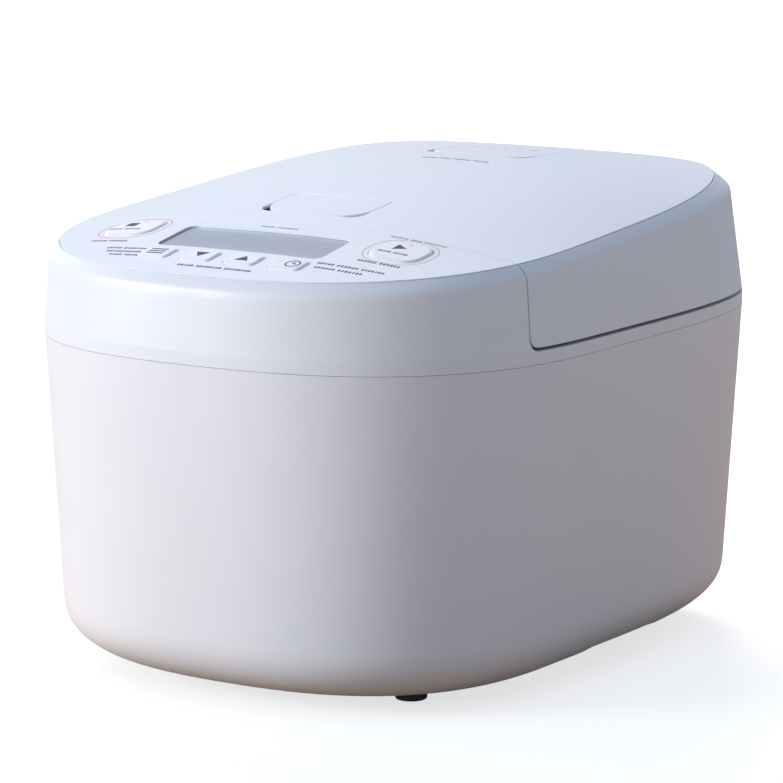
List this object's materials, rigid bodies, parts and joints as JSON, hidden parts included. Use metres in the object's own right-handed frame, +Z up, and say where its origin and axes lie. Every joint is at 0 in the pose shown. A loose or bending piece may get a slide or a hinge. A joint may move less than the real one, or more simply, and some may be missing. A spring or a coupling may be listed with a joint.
{
  "type": "rice cooker",
  "caption": "Domestic electric rice cooker with a rounded-rectangular white casing, hinged domed lid, steam vent, front control panel with display and keys, and a removable inner pan.",
  "frame": {"origin": "under the middle of the footprint, on the plane that the four feet rest on", "axes": "+Z up, -Y towards the user at the control panel, +X the user's right"},
  "size_m": [0.285, 0.355, 0.2435],
  "materials": {
    "casing_white": "satin moulded polypropylene",
    "frame_white": "satin moulded polypropylene",
    "plate_white": "smooth glossy film over moulded plastic",
    "key_white": "soft satin key caps",
    "display_window": "clear acrylic window with the display laminated behind it",
    "display_grey": "reflective segment display",
    "lamp_amber": "translucent light guide",
    "foot_rubber": "moulded dark grey rubber",
    "base_grey": "plain moulded plastic",
    "inner_grey": "heat-resistant plastic",
    "board_green": "glass-fibre circuit board",
    "black_part": "moulded component cases",
    "bright_steel": "drawn or turned steel",
    "case_steel": "galvanised sheet steel",
    "bare_aluminium": "spun or cast aluminium",
    "pan_coat": "dark non-stick coating",
    "silicone_grey": "translucent grey silicone"
  },
  "bodies": {
    "casing": {"outer_shell": "casing_white", "base_cover": "base_grey", "base_screws": "bright_steel", "front_feet": "foot_rubber", "rear_feet": "foot_rubber", "cord_outlet": "base_grey", "upper_frame": "frame_white", "control_panel": "plate_white", "lcd_window": "display_window", "lcd_module": "display_grey", "control_board": "board_green", "tact_switches": "black_part", "board_screws": "bright_steel", "buzzer": "black_part", "power_board": "board_green", "power_transformer": "black_part", "power_relay": "black_part", "power_capacitors": "black_part", "inner_pan": "pan_coat", "inner_case": "case_steel", "side_heater": "bare_aluminium", "heating_plate": "bare_aluminium", "heating_element": "bright_steel", "plate_posts": "bright_steel", "sensor_holder": "base_grey", "sensor_spring": "bright_steel", "thermal_fuse": "bright_steel", "reel_case": "black_part", "reel_axle": "bright_steel", "hinge_pin": "bright_steel", "hinge_spring": "bright_steel"},
    "lid": {"lid_shell": "casing_white", "lid_top_plate": "plate_white", "lid_lower_cover": "inner_grey", "latch_pin": "bright_steel", "latch_spring": "bright_steel", "steam_vent_case": "inner_grey", "vent_gasket": "silicone_grey", "lid_heater": "bare_aluminium", "inner_lid": "bare_aluminium", "inner_lid_gasket": "silicone_grey", "inner_lid_catch": "silicone_grey"},
    "latch": {"release_button": "plate_white", "latch_hook": "inner_grey"},
    "vent_cap": {"steam_vent_cap": "plate_white"},
    "sensor": {"pan_sensor": "bare_aluminium"},
    "cord_drum": {"reel_drum": "base_grey"},
    "menu_key": {"menu_button": "key_white"},
    "down_key": {"down_button": "key_white"},
    "up_key": {"up_button": "key_white"},
    "timer_key": {"timer_button": "key_white", "timer_lamp": "lamp_amber"},
    "cancel_key": {"cancel_button": "key_white", "cancel_lamp": "lamp_amber"},
    "start_key": {"start_button": "key_white", "start_lamp": "lamp_amber"}
  },
  "joints": [
    {"name": "lid_hinge", "type": "hinge", "parent": "casing", "child": "lid", "pos_m": [0, 0.1703, 0.1785], "axis": [-1, 0, 0], "range_deg": [0, 85]},
    {"name": "release_press", "type": "hinge", "parent": "lid", "child": "latch", "pos_m": [0, -0.0445, 0.224], "axis": [1, 0, 0], "range_deg": [0, 5], "stiffness_Nm_per_rad": 3, "springref_deg": -2.86, "deforming": ["latch_spring"]},
    {"name": "vent_cap_lift", "type": "slide", "parent": "lid", "child": "vent_cap", "axis": [0, 0, 1], "range_m": [0, 0.025]},
    {"name": "sensor_plunge", "type": "slide", "parent": "casing", "child": "sensor", "axis": [0, 0, -1], "range_m": [0, 0.0025], "stiffness_N_per_m": 400, "springref_m": -0.002, "deforming": ["sensor_spring"]},
    {"name": "cord_drum_spin", "type": "hinge", "parent": "casing", "child": "cord_drum", "pos_m": [0, 0.104, 0.015], "axis": [0, 0, 1], "continuous": true},
    {"name": "menu_press", "type": "slide", "parent": "casing", "child": "menu_key", "axis": [0, 0, -1], "range_m": [0, 0.0005], "stiffness_N_per_m": 600, "springref_m": -0.0005},
    {"name": "down_press", "type": "slide", "parent": "casing", "child": "down_key", "axis": [0, 0, -1], "range_m": [0, 0.0005], "stiffness_N_per_m": 600, "springref_m": -0.0005},
    {"name": "up_press", "type": "slide", "parent": "casing", "child": "up_key", "axis": [0, 0, -1], "range_m": [0, 0.0005], "stiffness_N_per_m": 600, "springref_m": -0.0005},
    {"name": "timer_press", "type": "slide", "parent": "casing", "child": "timer_key", "axis": [0, 0, -1], "range_m": [0, 0.0005], "stiffness_N_per_m": 600, "springref_m": -0.0005},
    {"name": "cancel_press", "type": "slide", "parent": "casing", "child": "cancel_key", "axis": [0, 0, -1], "range_m": [0, 0.0005], "stiffness_N_per_m": 600, "springref_m": -0.0005},
    {"name": "start_press", "type": "slide", "parent": "casing", "child": "start_key", "axis": [0, 0, -1], "range_m": [0, 0.0005], "stiffness_N_per_m": 600, "springref_m": -0.0005}
  ]
}
